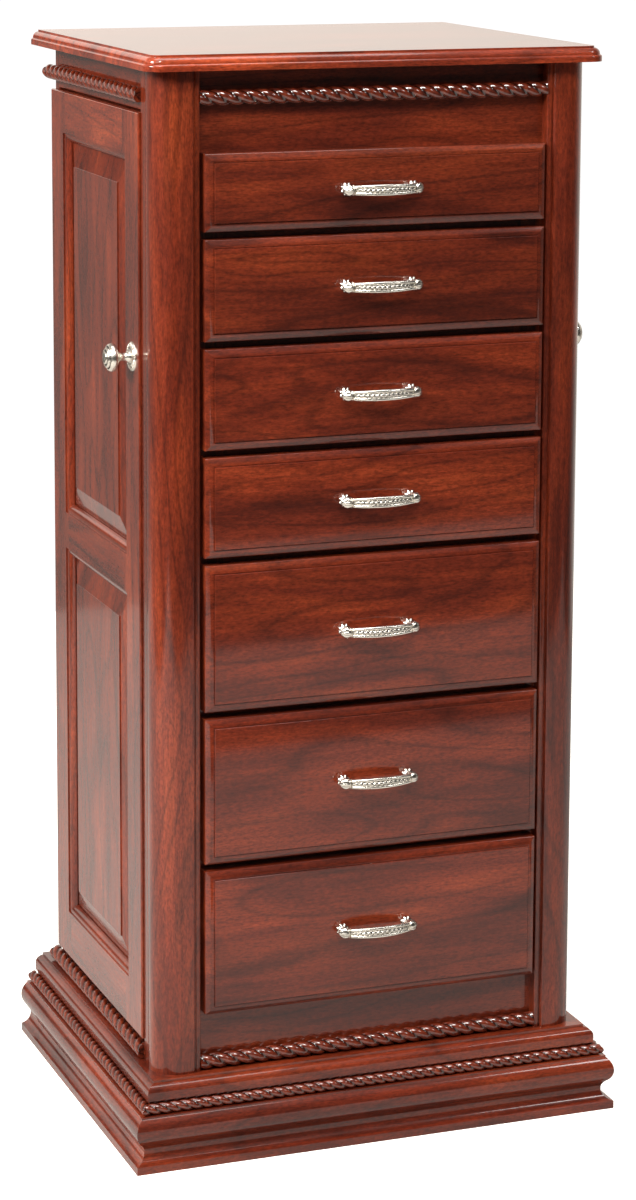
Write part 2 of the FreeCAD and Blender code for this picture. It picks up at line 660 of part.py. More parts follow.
def necklace_hooks():
    """A rail of pegs on the inside of the left door."""
    top = DOOR_TOP - HOOK_RAIL_DROP
    rail_x = -DOOR_X
    y0 = DOOR_Y0 + HOOK_RAIL_END
    y1 = DOOR_Y1 - HOOK_RAIL_END
    rail = box(rail_x, rail_x + HOOK_RAIL_T, y0, y1, top - HOOK_RAIL_H, top)
    pieces = [rail]
    z = top - HOOK_RAIL_H / 2
    pitch = (y1 - y0 - 2 * HOOK_MARGIN) / (HOOK_COUNT - 1)
    peg_x = rail_x + HOOK_RAIL_T
    for i in range(HOOK_COUNT):
        y = y0 + HOOK_MARGIN + i * pitch
        tip = V(peg_x + HOOK_L, y, z)
        peg = rod(V(peg_x, y, z), tip, HOOK_R)
        pieces.append(peg.fuse(Part.makeSphere(HOOK_BALL_R, tip)).removeSplitter())
    return pieces


def doors():
    left = {"frame": door_frame(),
            "panels": [door_panel(*opening) for opening in door_openings()],
            "knob": knob(),
            "necklace_hooks": necklace_hooks()}
    fixed, moving = hinge(1)
    axis_x = -PANEL_X - HINGE_OFFSET
    axis_y = DOOR_Y1 + HINGE_OFFSET
    height = DOOR_TOP - DOOR_FOOT_Z
    leaves = {"fixed": [], "moving": []}
    for z in (DOOR_FOOT_Z + HINGE_END, DOOR_FOOT_Z + height / 2, DOOR_TOP - HINGE_END):
        leaves["fixed"].append(fixed.translated(V(axis_x, axis_y, z)))
        leaves["moving"].append(moving.translated(V(axis_x, axis_y, z)))
    left["hinge_leaves"] = leaves["moving"]
    for piece, shapes in left.items():
        save("left_door_" + piece, shapes)
        save("right_door_" + piece, [flip_x(s) for s in shapes])
    save("door_hinge_case_leaves", both_sides(leaves["fixed"]))
    catch_x = DOOR_X - CATCH_GAP
    z = (DOOR_FOOT_Z + DOOR_TOP) / 2
    catch = box(-catch_x, -catch_x + CATCH_T, POST_BACK, POST_BACK + CATCH_W, z - CATCH_H / 2,
                z + CATCH_H / 2)
    save("door_catches", both_sides([catch]))


# ---------------------------------------------------------------- lid
def lid_section(at):
    """What the lid's edge loses: at(q, z) places q inwards and z up from the lid's underside."""
    r = LIP_ROUND
    slant = r * (1 - SLANT)
    cove_end = LID_T - LID_TOP_EDGE
    reach = LID_TOP_INSET - COVE_START
    rise = cove_end - LIP_H
    cove_mid = at(COVE_START + reach * (1 - SLANT), LIP_H + rise * SLANT)
    return [line(at(-CUT, 0), at(0, 0)),
            line(at(0, 0), at(0, LIP_H - r)),
            arc(at(0, LIP_H - r), at(slant, LIP_H - slant), at(COVE_START, LIP_H)),
            arc(at(COVE_START, LIP_H), cove_mid, at(LID_TOP_INSET, cove_end)),
            line(at(LID_TOP_INSET, cove_end), at(LID_TOP_INSET, LID_T + CUT)),
            line(at(LID_TOP_INSET, LID_T + CUT), at(-CUT, LID_T + CUT)),
            line(at(-CUT, LID_T + CUT), at(-CUT, 0))]


def lid_board():
    """A board with rounded front corners and a lip and cove along its front and sides."""
    half = SIDE_X + LID_OVER_SIDE
    y0 = CASE_FRONT - LID_OVER_FRONT
    y1 = CASE_BACK + LID_OVER_BACK
    r = LID_CORNER_R
    slant = r * (1 - SLANT)

    def rim(back):
        return [line(V(-half, back, LID_Z), V(-half, y0 + r, LID_Z)),
                arc(V(-half, y0 + r, LID_Z), V(-half + slant, y0 + slant, LID_Z), V(-half + r, y0, LID_Z)),
                line(V(-half + r, y0, LID_Z), V(half - r, y0, LID_Z)),
                arc(V(half - r, y0, LID_Z), V(half - slant, y0 + slant, LID_Z), V(half, y0 + r, LID_Z)),
                line(V(half, y0 + r, LID_Z), V(half, back, LID_Z))]
    board = slab(rim(y1) + [line(V(half, y1, LID_Z), V(-half, y1, LID_Z))], V(0, 0, LID_T))
    past = y1 + CUT
    section = Part.Wire(lid_section(lambda q, z: V(-half + q, past, LID_Z + z)))
    waste = Part.Wire(rim(past)).makePipeShell([section], True, False)
    return board.cut(waste)


def lid():
    save("lid_board", [lid_board()])
    half = INNER_X - MIRROR_MARGIN_X
    save("lid_mirror", [box(-half, half, POST_BACK + MIRROR_MARGIN_Y / 2, BACK_Y - MIRROR_MARGIN_Y,
                            LID_Z - MIRROR_T, LID_Z)])
    fixed, moving = [lid_side(leaf) for leaf in hinge(-1)]
    axis = V(0, CASE_BACK + HINGE_OFFSET, LID_Z - HINGE_OFFSET)
    places = [axis + V(x, 0, 0) for x in (-LID_HINGE_X, LID_HINGE_X)]
    save("lid_hinge_case_leaves", [fixed.translated(p) for p in places])
    save("lid_hinge_leaves", [moving.translated(p) for p in places])


os.makedirs("parts", exist_ok=True)
plinth()
plinth_ropes()
case()
save("frieze_ropes", ropes_on_case(CASE_TOP - FRIEZE_ROPE_DROP))
save("base_ropes", ropes_on_case(CASE_Z + ROPE_R))
tray()
drawers()
doors()
lid()

print("plinth", BASE_W, "x", BASE_D, "height to the case", CASE_Z)
print("case top", CASE_TOP, "overall height", LID_Z + LID_T)
print("door hinge axis", -PANEL_X - HINGE_OFFSET, DOOR_Y1 + HINGE_OFFSET)
print("lid hinge axis", CASE_BACK + HINGE_OFFSET, LID_Z - HINGE_OFFSET)
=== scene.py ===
import math

import bmesh
import bpy
import numpy as np
from mathutils import Matrix, Vector


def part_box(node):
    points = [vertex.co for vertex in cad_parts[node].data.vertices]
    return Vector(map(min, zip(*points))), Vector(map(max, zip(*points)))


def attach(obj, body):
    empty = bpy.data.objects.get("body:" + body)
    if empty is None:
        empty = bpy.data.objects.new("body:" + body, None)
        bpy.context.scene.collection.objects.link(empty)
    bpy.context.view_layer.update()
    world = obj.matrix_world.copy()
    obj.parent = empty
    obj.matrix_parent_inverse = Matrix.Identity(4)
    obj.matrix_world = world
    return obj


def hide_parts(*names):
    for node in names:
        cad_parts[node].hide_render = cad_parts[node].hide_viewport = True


# Jewelry armoire: finishes for the frame's wood and metal, moulded posts and drawer fronts, carved
# ropes, cast pulls, turned knobs and felt. Metres, in the frame's own axes: -Y is the front, +Z is up.

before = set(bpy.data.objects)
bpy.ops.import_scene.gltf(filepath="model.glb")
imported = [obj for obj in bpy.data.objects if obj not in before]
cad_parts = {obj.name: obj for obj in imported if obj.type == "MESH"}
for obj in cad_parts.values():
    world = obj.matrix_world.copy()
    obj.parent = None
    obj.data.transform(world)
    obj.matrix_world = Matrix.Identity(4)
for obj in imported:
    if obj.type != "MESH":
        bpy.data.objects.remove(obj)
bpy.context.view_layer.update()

X, Y, Z = Vector((1, 0, 0)), Vector((0, 1, 0)), Vector((0, 0, 1))
DRAWERS = range(1, 8)
SIDES = {"left": -1, "right": 1}
HAIR = 0.0005              # tells a face that lies in a plane from one beside it
BOX_WALL = 0.0102          # a drawer box's board and a little more
DOOR_STILE = 0.058         # a door's stile with its moulding
HOOK_RAIL = 0.0095         # the thickness of the rail that the pegs stand on, and a little more
LID_EDGE_PAINTED_LIGHT = 1.6       # painted light: the lid's edge and underside take a lighter copy of the top's stain
UPPER_DRAWERS = 2
UPPER_DRAWER_SHADE = 0.8   # the upper drawers' fronts are drawn darker than the rest


# ---------------------------------------------------------------- node helpers
class Nodes:
    """A material's node tree, with short ways to add and link nodes."""

    def __init__(self, name):
        self.material = bpy.data.materials.new(name)
        self.material.use_nodes = True
        self.tree = self.material.node_tree
        self.tree.nodes.clear()
        self.out = self.add("ShaderNodeOutputMaterial")
        self.shader = self.add("ShaderNodeBsdfPrincipled")
        self.link(self.shader, "BSDF", self.out, "Surface")
        self.object_place = self.add("ShaderNodeTexCoord").outputs["Object"]

    def add(self, kind):
        return self.tree.nodes.new(kind)

    def link(self, source, output, target, socket):
        self.tree.links.new(source.outputs[output], target.inputs[socket])

    def join(self, output, target, socket):
        self.tree.links.new(output, target.inputs[socket])

    def set(self, **values):
        for name, value in values.items():
            self.shader.inputs[name.replace("_", " ")].default_value = value

    def mapped(self, scale, offset=(0, 0, 0)):
        """Object coordinates, moved by offset and then scaled."""
        node = self.add("ShaderNodeMapping")
        node.vector_type = "POINT"
        self.join(self.object_place, node, "Vector")
        node.inputs["Scale"].default_value = scale
        node.inputs["Location"].default_value = [o * s for o, s in zip(offset, scale)]
        return node.outputs["Vector"]

    def noise(self, place, scale, detail=3.0, roughness=0.5, distortion=0.0):
        node = self.add("ShaderNodeTexNoise")
        self.join(place, node, "Vector")
        node.inputs["Scale"].default_value = scale
        node.inputs["Detail"].default_value = detail
        node.inputs["Roughness"].default_value = roughness
        node.inputs["Distortion"].default_value = distortion
        return node.outputs["Fac"]

    def ramp(self, value, stops):
        node = self.add("ShaderNodeValToRGB")
        self.join(value, node, "Fac")
        elements = node.color_ramp.elements
        while len(elements) < len(stops):
            elements.new(0.5)
        for element, (position, colour) in zip(elements, stops):
            element.position = position
            element.color = (*colour, 1.0)
        return node.outputs["Color"]

    def spread(self, value, low, high, to_low, to_high):
        """The value mapped from low..high to to_low..to_high."""
        node = self.add("ShaderNodeMapRange")
        self.join(value, node, "Value")
        for name, number in (("From Min", low), ("From Max", high), ("To Min", to_low), ("To Max", to_high)):
            node.inputs[name].default_value = number
        return node.outputs["Result"]

    def times(self, colour, value):
        node = self.add("ShaderNodeVectorMath")
        node.operation = "MULTIPLY"
        self.join(colour, node, 0)
        self.join(value, node, 1)
        return node.outputs["Vector"]

    def folded(self, value, folds):
        """The value turned into a zigzag from 0 to 1, which draws lines along its contours."""
        scaled = self.add("ShaderNodeMath")
        scaled.operation = "MULTIPLY"
        self.join(value, scaled, 0)
        scaled.inputs[1].default_value = folds
        zigzag = self.add("ShaderNodeMath")
        zigzag.operation = "PINGPONG"
        self.join(scaled.outputs["Value"], zigzag, 0)
        zigzag.inputs[1].default_value = 1.0
        return zigzag.outputs["Value"]

    def edges(self, radius):
        """A normal that rounds sharp edges, so that they catch the light."""
        node = self.add("ShaderNodeBevel")
        node.samples = 4
        node.inputs["Radius"].default_value = radius
        return node.outputs["Normal"]

    def bump(self, height, strength, distance, normal=None):
        node = self.add("ShaderNodeBump")
        node.inputs["Strength"].default_value = strength
        node.inputs["Distance"].default_value = distance
        self.join(height, node, "Height")
        if normal is not None:
            self.join(normal, node, "Normal")
        self.link(node, "Normal", self.shader, "Normal")
        return node.outputs["Normal"]


# ---------------------------------------------------------------- materials
# The stain's colours across the figure, and how far each kind of figure is drawn out along the grain.
CHERRY = [(0.30, (0.060, 0.0075, 0.0028)), (0.44, (0.098, 0.0122, 0.0040)),
          (0.58, (0.148, 0.0200, 0.0058)), (0.74, (0.220, 0.0345, 0.0092))]
INNER = [(0.30, (0.175, 0.062, 0.030)), (0.50, (0.270, 0.108, 0.054)),
         (0.75, (0.370, 0.165, 0.088))]
FIGURE = {"x": (0.16, 1.0, 1.0), "y": (1.0, 0.16, 1.0), "z": (1.0, 1.0, 0.16)}
LINES = {"x": (0.045, 1.0, 1.0), "y": (1.0, 0.045, 1.0), "z": (1.0, 1.0, 0.045)}
MOTTLE = {"x": (0.4, 1.0, 1.0), "y": (1.0, 0.4, 1.0), "z": (1.0, 1.0, 0.4)}
PORES = {"x": (0.11, 1.0, 1.0), "y": (1.0, 0.11, 1.0), "z": (1.0, 1.0, 0.11)}


def wood(name, along, seed, stops, gloss):
    """Wood whose grain runs along one axis; seed moves the figure, so that boards differ."""
    m = Nodes(name)
    offset = (0.731 * seed, 0.417 * seed, 0.593 * seed)
    figure = m.noise(m.mapped(FIGURE[along], offset), 26.0, 5.0, 0.58, 0.6)
    lines = m.noise(m.mapped(LINES[along], offset), 260.0, 3.0, 0.6, 0.2)
    pores = m.noise(m.mapped(PORES[along], offset), 1100.0, 2.0, 0.5)
    mottle = m.noise(m.mapped(MOTTLE[along], offset), 420.0, 3.0, 0.65)
    blotch = m.noise(m.mapped((1, 1, 1), offset), 7.0, 2.0, 0.5)
    rings = m.noise(m.mapped(FIGURE[along], offset), 8.0, 2.0, 0.45, 0.5)
    veins = m.folded(rings, 26.0)
    colour = m.ramp(figure, stops)
    colour = m.times(colour, m.spread(veins, 0.0, 0.30, 0.66, 1.04))
    colour = m.times(colour, m.spread(lines, 0.32, 0.68, 0.84, 1.16))
    colour = m.times(colour, m.spread(pores, 0.32, 0.50, 0.70, 1.06))
    colour = m.times(colour, m.spread(mottle, 0.32, 0.68, 0.68, 1.30))
    colour = m.times(colour, m.spread(blotch, 0.3, 0.7, 0.88, 1.12))
    m.join(colour, m.shader, "Base Color")
    if gloss:
        m.join(m.spread(lines, 0.3, 0.7, 0.42, 0.55), m.shader, "Roughness")
        m.set(Specular_IOR_Level=0.12, Coat_Weight=1.0, Coat_Roughness=0.09, Coat_IOR=1.5)
        m.bump(pores, 0.10, 0.0002, m.edges(0.0004))
    else:
        m.join(m.spread(lines, 0.3, 0.7, 0.48, 0.62), m.shader, "Roughness")
        m.bump(pores, 0.3, 0.0003, m.edges(0.0004))
    return m.material


def rope_wood():
    """The carved ropes: the cherry stain with painted shade darkening into the grooves between strands, under
    a thick gloss.
    """
    m = Nodes("cherry_rope")
    place = m.mapped((1, 1, 1))
    figure = m.noise(place, 160.0, 3.0, 0.55)
    colour = m.ramp(figure, [(at, [0.8 * c for c in stain]) for at, stain in CHERRY])
    groove = m.add("ShaderNodeAttribute")
    groove.attribute_name = "groove"
    # painted shade: the colour darkens into the grooves between strands, nearly to black at their bottoms
    colour = m.times(colour, m.spread(groove.outputs["Fac"], 0.05, 0.62, 0.02, 1.15))
    m.join(colour, m.shader, "Base Color")
    m.join(m.spread(figure, 0.3, 0.7, 0.40, 0.50), m.shader, "Roughness")
    m.set(Specular_IOR_Level=0.12, Coat_Weight=1.0, Coat_Roughness=0.08, Coat_IOR=1.7)
    m.bump(m.noise(place, 700.0, 2.0), 0.06, 0.0002)
    return m.material


def metal(name, light, dark, rough):
    """Satin metal with darker, rougher patches where it is antiqued."""
    m = Nodes(name)
    place = m.mapped((1, 1, 1))
    patches = m.noise(place, 90.0, 4.0, 0.6)
    colour = m.ramp(patches, [(0.32, dark), (0.5, light), (0.8, [min(1.0, c * 1.12) for c in light])])
    groove = m.add("ShaderNodeAttribute")
    groove.attribute_name = "groove"
    colour = m.times(colour, m.spread(groove.outputs["Fac"], 0.0, 0.8, 0.18, 1.0))
    m.join(colour, m.shader, "Base Color")
    m.join(m.spread(patches, 0.3, 0.7, rough + 0.04, rough - 0.02), m.shader, "Roughness")
    m.set(Metallic=1.0)
    m.bump(m.noise(place, 1400.0, 2.0), 0.03, 0.0001)
    return m.material


def plain_metal(name, light, dark, rough):
    """Satin sheet metal, such as a hinge leaf."""
    m = Nodes(name)
    place = m.mapped((1, 1, 1))
    patches = m.noise(place, 120.0, 4.0, 0.6)
    m.join(m.ramp(patches, [(0.3, dark), (0.6, light)]), m.shader, "Base Color")
    m.join(m.spread(patches, 0.3, 0.7, rough + 0.1, rough), m.shader, "Roughness")
    m.set(Metallic=1.0)
    m.bump(m.noise(place, 1600.0, 2.0), 0.1, 0.0001, m.edges(0.0003))
    return m.material


def felt():
    """Short-pile felt."""
    m = Nodes("felt")
    place = m.mapped((1, 1, 1))
    fibres = m.noise(place, 1900.0, 4.0, 0.7)
    patches = m.noise(place, 40.0, 3.0)
    colour = m.ramp(fibres, [(0.3, (0.36, 0.32, 0.25)), (0.7, (0.60, 0.55, 0.45))])
    m.join(m.times(colour, m.spread(patches, 0.3, 0.7, 0.9, 1.08)), m.shader, "Base Color")
    m.set(Roughness=0.95, Sheen_Weight=0.5, Sheen_Roughness=0.5)
    m.bump(fibres, 0.5, 0.0004)
    return m.material


def mirror():
    """Silvered glass with faint smears."""
    m = Nodes("mirror_glass")
    smears = m.noise(m.mapped((1, 1, 1)), 30.0, 4.0)
    m.join(m.ramp(smears, [(0.3, (0.84, 0.86, 0.87)), (0.7, (0.90, 0.92, 0.93))]), m.shader, "Base Color")
    m.join(m.spread(smears, 0.3, 0.7, 0.01, 0.03), m.shader, "Roughness")
    m.set(Metallic=1.0)
    return m.material


def plastic():
    """Moulded plastic with a fine grain."""
    m = Nodes("catch_plastic")
    grain = m.noise(m.mapped((1, 1, 1)), 1500.0, 3.0)
    m.join(m.ramp(grain, [(0.3, (0.05, 0.022, 0.014)), (0.7, (0.085, 0.04, 0.026))]), m.shader, "Base Color")
    m.set(Roughness=0.45)
    m.bump(grain, 0.2, 0.0002, m.edges(0.0006))
    return m.material


made = {}


def cherry(along, seed, shade=1.0):
    """The stained wood; shade scales the stain's colours: a lighter copy paints light on the lid's edge, and
    the upper drawers' fronts are drawn darker.
    """
    key = "cherry_%s_%d" % (along, seed)
    if key not in made:
        made[key] = wood(key, along, seed, [(at, [shade * c for c in stain]) for at, stain in CHERRY], True)
    return made[key]


def inner_wood(along, seed):
    """The plain wood of the boxes, runners and boards inside."""
    key = "inner_wood_%s_%d" % (along, seed)
    if key not in made:
        made[key] = wood(key, along, seed, INNER, False)
    return made[key]


ROPE_WOOD = rope_wood()
PEWTER = metal("pewter", (0.80, 0.76, 0.69), (0.64, 0.60, 0.53), 0.25)
HINGE_BRASS = plain_metal("hinge_brass", (0.60, 0.45, 0.20), (0.42, 0.30, 0.13), 0.32)
HOOK_BRASS = plain_metal("hook_brass", (0.66, 0.50, 0.24), (0.50, 0.36, 0.16), 0.18)
FELT = felt()
MIRROR = mirror()
PLASTIC = plastic()


# ---------------------------------------------------------------- finishes on the frame's own nodes
def finish_node(node, *materials, choose=None):
    """Gives a node its materials; choose(centre of a face) returns which one a face takes."""
    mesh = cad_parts[node].data
    mesh.materials.clear()
    for material in materials:
        mesh.materials.append(material)
    for polygon in mesh.polygons:
        polygon.material_index = choose(polygon.center) if choose else 0


def finish_case():
    """The case's boards, each with its own figure, and the metal on it."""
    for node, along, seed in (("back_stiles", "z", 3), ("frieze_front", "x", 4), ("frieze_sides", "y", 5),
                              ("apron_front", "x", 6), ("side_rails", "y", 7), ("face_stiles", "z", 8),
                              ("drawer_rails", "x", 9), ("back_panel", "z", 10), ("plinth_front", "x", 11),
                              ("plinth_sides", "y", 12), ("plinth_back", "x", 13)):
        finish_node(node, cherry(along, seed))
    # painted light: every face of the lid below its top takes a lighter copy of the stain, standing for light
    # on the edge
    lid_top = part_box("lid_board")[1].z
    finish_node("lid_board", cherry("x", 14), cherry("x", 15, LID_EDGE_PAINTED_LIGHT),
                choose=lambda centre: 0 if centre.z > lid_top - HAIR else 1)
    for node, along, seed in (("partitions", "z", 1), ("bottom_board", "x", 2), ("tray_floor", "x", 3),
                              ("tray_dividers", "y", 4), ("drawer_runners", "y", 5)):
        finish_node(node, inner_wood(along, seed))
    for node in ("door_hinge_case_leaves", "lid_hinge_case_leaves", "lid_hinge_leaves"):
        finish_node(node, HINGE_BRASS)
    finish_node("door_catches", PLASTIC)
    finish_node("lid_mirror", MIRROR)


def finish_doors():
    """Stiles with the grain up, rails with it across, and brass pegs on a plain rail."""
    for side, seed in (("left", 20), ("right", 30)):
        node = side + "_door_frame"
        low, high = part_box(node)

        def board(centre, low=low, high=high):
            return 0 if centre.y < low.y + DOOR_STILE else 1 if centre.y > high.y - DOOR_STILE else 2
        finish_node(node, cherry("z", seed), cherry("z", seed + 1), cherry("y", seed + 2), choose=board)
        finish_node(side + "_door_panels", cherry("z", seed + 3))
        finish_node(side + "_door_hinge_leaves", HINGE_BRASS)
        hooks = side + "_door_necklace_hooks"
        low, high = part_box(hooks)
        rail = low.x + HOOK_RAIL if side == "left" else high.x - HOOK_RAIL

        def part(centre, rail=rail, side=side):
            on_rail = centre.x < rail if side == "left" else centre.x > rail
            return 0 if on_rail else 1
        finish_node(hooks, inner_wood("y", seed), HOOK_BRASS, choose=part)


def finish_drawers():
    """Drawer boxes, whose sides and cross boards have their grain along them."""
    for i in DRAWERS:
        node = "drawer_%d_box" % i
        low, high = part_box(node)

        def board(centre, low=low, high=high):
            return 0 if centre.x < low.x + BOX_WALL or centre.x > high.x - BOX_WALL else 1
        finish_node(node, inner_wood("y", 50 + i), inner_wood("x", 60 + i), choose=board)


finish_case()
finish_doors()
finish_drawers()


# ---------------------------------------------------------------- mesh helpers
def piece(name, vertices, faces, material, body, groove=None):
    """A new object with a mesh, riding on a body."""
    mesh = bpy.data.meshes.new(name)
    mesh.from_pydata([tuple(v) for v in vertices], [], faces)
    if groove is not None:
        attribute = mesh.attributes.new("groove", "FLOAT", "POINT")
        attribute.data.foreach_set("value", np.array(groove, np.float32))
    mesh.polygons.foreach_set("use_smooth", [True] * len(mesh.polygons))
    mesh.materials.append(material)
    obj = bpy.data.objects.new(name, mesh)
    bpy.context.scene.collection.objects.link(obj)
    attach(obj, body)
    return obj


class Shell:
    """Closed surfaces gathered into one mesh, each made of rings of points."""

    def __init__(self):
        self.vertices = []
        self.faces = []
        self.groove = []

    def rings(self, rings, groove=None):
        """A surface through rings of equal length, closed round each ring and at both ends."""
        start = len(self.vertices)
        count = len(rings[0])
        for k, ring in enumerate(rings):
            self.vertices.extend(ring)
            self.groove.extend(groove[k] if groove else [1.0] * count)
        for k in range(len(rings) - 1):
            a, b = start + k * count, start + (k + 1) * count
            for i in range(count):
                j = (i + 1) % count
                self.faces.append((a + i, a + j, b + j, b + i))
        self.faces.append(tuple(start + i for i in reversed(range(count))))
        last = start + (len(rings) - 1) * count
        self.faces.append(tuple(last + i for i in range(count)))

    def object(self, name, material, body, slot):
        """The gathered surfaces as one object, smooth but for its sharp edges."""
        obj = piece(name, self.vertices, self.faces, material, body, self.groove)
        outward(obj.data)
        obj.data.set_sharp_from_angle(angle=math.radians(55))
        return obj


def outward(mesh):
    """Turns every face of a closed mesh outwards."""
    bm = bmesh.new()
    bm.from_mesh(mesh)
    bmesh.ops.recalc_face_normals(bm, faces=bm.faces)
    bm.to_mesh(mesh)
    bm.free()


def turned(profile, centre, axis, across, up, count, flutes=0, depth=0.0):
    """Rings of a turned shape: profile holds (distance along the axis, radius, depth of flute or tarnish)."""
    rings, groove = [], []
    for along, radius, share in profile:
        ring, marks = [], []
        for i in range(count):
            turn = 2 * math.pi * i / count
            wave = 0.5 - 0.5 * math.cos(flutes * turn) if flutes else 1.0
            r = radius * (1 - depth * share * (1 - wave))
            ring.append(centre + axis * along + across * (r * math.cos(turn)) + up * (r * math.sin(turn)))
            marks.append(1.0 - share * (1 - wave) if flutes else 1.0 - share)
        rings.append(ring)
        groove.append(marks)
    return rings, groove


# ---------------------------------------------------------------- corner posts
def bend(centre, radius, start, end, steps):
    """Points along an arc, with angles in degrees."""
    turns = [math.radians(start + (end - start) * k / steps) for k in range(steps + 1)]
    return [(centre[0] + radius * math.cos(t), centre[1] + radius * math.sin(t)) for t in turns]


def post_section(wide, deep):
    """A post's outline in mm: across from its outer side, and back from its front."""
    step = 2.8             # from the post's face back to the flat strips beside the drawers and the door
    arris = 1.9
    corner = 29.0          # the rounded outer corner
    points = [(wide, deep), (wide, step + arris)]
    points += bend((wide - arris, step + arris), arris, 0, -90, 7)[1:]
    points += bend((wide - 3.8, step + 2.9), 3.3, -76, -118, 6)
    points += [(wide - 5.9, step + 0.9), (wide - 6.7, step + 1.0), (wide - 7.1, step + 0.2)]
    points.append((wide - 7.8, 1.2))
    points += bend((wide - 9.0, 1.0), 1.0, 0, -90, 4)
    points += bend((corner, corner), corner, -90, -180, 26)
    points += bend((1.0, deep - 25.0), 1.0, 180, 90, 4)
    points += [(2.0, deep - 23.1), (3.6, deep - 22.8), (3.7, deep - 22.0), (step + 0.1, deep - 21.6)]
    points += bend((step + 2.4, deep - 19.0), 3.2, 222, 138, 7)
    points += [(step + 0.1, deep - 16.4), (step + 0.9, deep - 15.9), (step + 0.9, deep - 15.2)]
    points += [(step, deep - 14.7), (step, deep)]
    return points


def corner_post(side, seed):
    """A post with its moulded section drawn straight up."""
    node = "corner_post_" + side
    low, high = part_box(node)
    outer = low.x if side == "left" else high.x
    outline = post_section(1000 * (high.x - low.x), 1000 * (high.y - low.y))
    section = [(outer - SIDES[side] * u / 1000, low.y + v / 1000) for u, v in outline]
    vertices, faces = [], []
    for z in (low.z, high.z):
        vertices += [(x, y, z) for x, y in section]
    count = len(section)
    for i in range(count):
        j = (i + 1) % count
        faces.append((i, j, count + j, count + i))
    faces += [tuple(range(count)), tuple(range(2 * count - 1, count - 1, -1))]
    post = piece("moulded_post_" + side, vertices, faces, cherry("z", seed), "case")
    outward(post.data)
    post.data.set_sharp_from_angle(angle=math.radians(40))
    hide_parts(node)


corner_post("left", 1)
corner_post("right", 2)


# ---------------------------------------------------------------- drawer fronts
FRONT_SECTION = [(0.0, -0.7), (0.12, -0.25), (0.5, 0.15), (1.2, 0.55), (2.6, 1.35), (4.2, 2.20), (5.8, 2.92),
                 (7.2, 3.42), (8.3, 3.70), (8.8, 3.72), (9.1, 3.35), (9.45, 3.35), (9.6, 4.2), (9.7, 5.1),
                 (9.95, 5.42), (10.5, 5.5)]     # mm: in from the edge, and out from the bevel's foot
FIELD_RISE = 0.0055        # the raised field's height over the bevel's foot


def drawer_front(i):
    """A drawer front with a mitred, moulded edge round a raised field."""
    node = "drawer_%d_front" % i
    low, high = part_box(node)
    foot = low.y + FIELD_RISE
    rings = [(0.0, high.y)] + [(w / 1000, foot - h / 1000) for w, h in FRONT_SECTION]
    vertices, faces = [], []
    for inset, y in rings:
        vertices += [(low.x + inset, y, low.z + inset), (high.x - inset, y, low.z + inset),
                     (high.x - inset, y, high.z - inset), (low.x + inset, y, high.z - inset)]
    for k in range(len(rings) - 1):
        for c in range(4):
            d = (c + 1) % 4
            faces.append((4 * k + c, 4 * k + d, 4 * k + 4 + d, 4 * k + 4 + c))
    last = 4 * (len(rings) - 1)
    faces += [(3, 2, 1, 0), (last, last + 1, last + 2, last + 3)]
    board = cherry("x", 40 + i, UPPER_DRAWER_SHADE if i <= UPPER_DRAWERS else 1.0)
    front = piece("drawer_%d_moulded_front" % i, vertices, faces, board, "drawer_%d" % i)
    outward(front.data)
    front.data.set_sharp_from_angle(angle=math.radians(28))
    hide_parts(node)


for number in DRAWERS:
    drawer_front(number)


# ---------------------------------------------------------------- carved ropes
STRANDS = 3
STRAND_OFFSET = 0.38       # strand's middle from the rope's middle, in rope radii
RINGS_PER_PITCH = 11
CASE_ROPE_PITCH = 0.0165   # from one strand to the next along the rope
CASE_ROPE_AROUND = 36
PLINTH_ROPE_PITCH = 0.012
PLINTH_ROPE_AROUND = 28


def strand_radius(turn):
    """Distance from the rope's middle to its surface, in rope radii, at an angle from a strand."""
    half = math.pi / STRANDS
    turn = (turn + half) % (2 * half) - half
    size = 1 - STRAND_OFFSET
    return STRAND_OFFSET * math.cos(turn) + math.sqrt(size ** 2 - (STRAND_OFFSET * math.sin(turn)) ** 2)


def rope_rings(start, end, out, radius, pitch, around):
    """Rings of a twisted rope from start to end; out points away from what the rope lies on."""
    length = (end - start).length
    along = (end - start) / length
    down = -Z
    steps = max(2, int(length / (pitch / RINGS_PER_PITCH)))
    low = strand_radius(math.pi / STRANDS)
    rings, groove = [], []
    for k in range(steps + 1):
        s = length * k / steps
        twist = 2 * math.pi * s / (pitch * STRANDS)
        ring, marks = [], []
        for i in range(around):
            turn = 2 * math.pi * i / around
            share = strand_radius(turn - twist)
            ring.append(start + along * s + (out * math.cos(turn) + down * math.sin(turn)) * (radius * share))
            # how far a point stands out of the grooves, which the rope's wood turns into painted shade
            marks.append((share - low) / (1 - low))
        rings.append(ring)
        groove.append(marks)
    return rings, groove


def ropes_on_case(node):
    """The front rope and the two side ropes that stand for one of the frame's rope nodes."""
    shell = Shell()
    low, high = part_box(node)
    radius = (high.z - low.z) / 2
    z = (low.z + high.z) / 2
    post_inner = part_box("face_stiles")[1].x
    post_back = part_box("corner_post_left")[1].y
    front_y = low.y + radius
    shell.rings(*rope_rings(Vector((-post_inner, front_y, z)), Vector((post_inner, front_y, z)), -Y,
                            radius, CASE_ROPE_PITCH, CASE_ROPE_AROUND))
    for side in SIDES.values():
        x = side * (high.x - radius)
        ends = [Vector((x, post_back, z)), Vector((x, high.y, z))]
        if side < 0:
            ends.reverse()
        shell.rings(*rope_rings(*ends, X * side, radius, CASE_ROPE_PITCH, CASE_ROPE_AROUND))
    rope = shell.object(node + "_carved", ROPE_WOOD, "case", "cherry")
    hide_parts(node)


def cut_at(bm, point, normal):
    """Removes what lies beyond a plane and closes the cut."""
    geometry = bm.verts[:] + bm.edges[:] + bm.faces[:]
    cut = bmesh.ops.bisect_plane(bm, geom=geometry, plane_co=point, plane_no=normal, clear_outer=True)
    rim = [g for g in cut["geom_cut"] if isinstance(g, bmesh.types.BMEdge)]
    bmesh.ops.holes_fill(bm, edges=rim)


